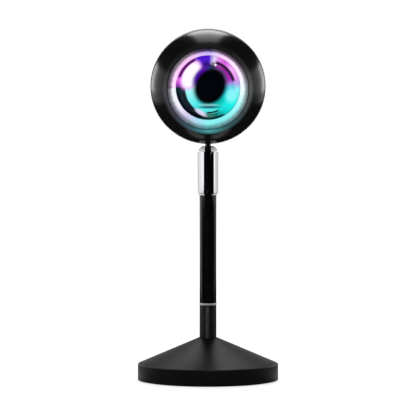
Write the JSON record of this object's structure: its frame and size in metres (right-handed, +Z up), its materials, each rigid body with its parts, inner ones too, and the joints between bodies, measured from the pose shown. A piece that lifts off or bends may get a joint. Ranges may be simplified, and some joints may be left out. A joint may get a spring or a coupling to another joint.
{
  "type": "sunset projection lamp",
  "caption": "Table lamp with a weighted cone base, slim stem, slotted ball swivel and a ball-shaped head with a recessed domed projection lens.",
  "frame": {"origin": "middle of the foot pad, on the surface the lamp stands on", "axes": "+Z up along the stem, -Y the way the lamp shines at rest, +X to the right of someone facing its lens"},
  "size_m": [0.097, 0.097, 0.2433],
  "materials": {
    "foam": "closed-cell foam, matt",
    "black_steel": "black oxide",
    "zinc_steel": "zinc plated",
    "cast_iron": "as cast",
    "satin_black_paint": "satin powder coat",
    "gloss_black_paint": "gloss enamel",
    "nylon": "moulded",
    "nickel_ring": "satin nickel",
    "chrome": "polished",
    "brass": "turned",
    "spring_steel": "tempered",
    "black_nickel": "black nickel",
    "black_abs": "semi-gloss moulded",
    "white_abs": "polished white, lit by the lens",
    "matt_black_abs": "moulded, fine texture",
    "lens_glass": "polished, coated",
    "rubber": "matt",
    "filter_glass": "dichroic coating",
    "clear_glass": "polished",
    "board_aluminium": "white solder mask",
    "phosphor": "phosphor",
    "sink_aluminium": "extruded",
    "circuit_board": "green solder mask",
    "component_plastic": "moulded",
    "lead_insulation": "insulation"
  },
  "bodies": {
    "stand": {"foot_pad": "foam", "base_plate": "black_steel", "base_screws": "zinc_steel", "base_weight": "cast_iron", "base_shell": "satin_black_paint", "tie_rod": "zinc_steel", "tie_washer": "zinc_steel", "tie_nut": "zinc_steel", "sleeve_bush": "nylon", "lower_sleeve": "satin_black_paint", "joint_ring": "nickel_ring", "stem_tube": "gloss_black_paint", "swivel_post": "chrome", "pan_washer": "zinc_steel", "pan_screw": "zinc_steel"},
    "swivel": {"swivel_housing": "chrome", "swivel_plug": "brass", "tension_plug": "brass", "disc_springs": "spring_steel", "ball_seat": "nylon"},
    "ball_stud": {"ball_stud": "black_nickel", "thrust_washer": "nylon", "lock_nut": "zinc_steel"},
    "head": {"stud_bush": "brass", "front_shell": "black_abs", "rear_shell": "black_abs", "shell_screws": "zinc_steel", "light_well": "white_abs", "optics_barrel": "matt_black_abs", "front_lens": "lens_glass", "lens_gasket": "rubber", "lens_ring": "matt_black_abs", "colour_filter": "filter_glass", "filter_clip": "spring_steel", "condenser_lens": "clear_glass", "condenser_ring": "matt_black_abs", "led_board": "board_aluminium", "led_emitter": "phosphor", "led_screws": "zinc_steel", "heat_sink": "sink_aluminium", "sink_screws": "zinc_steel", "driver_board": "circuit_board", "driver_parts": "component_plastic", "board_screws": "zinc_steel", "led_leads": "lead_insulation", "cable_grommet": "rubber"}
  },
  "joints": [
    {"name": "pan", "type": "hinge", "parent": "stand", "child": "swivel", "pos_m": [0, 0, 0.1295], "axis": [0, 0, 1], "continuous": true},
    {"name": "tilt", "type": "hinge", "parent": "swivel", "child": "ball_stud", "pos_m": [0, 0, 0.15552], "axis": [1, 0, 0], "range_deg": [-15, 90]},
    {"name": "spin", "type": "hinge", "parent": "ball_stud", "child": "head", "pos_m": [0, 0, 0.20352], "axis": [0, 0, 1], "continuous": true}
  ]
}
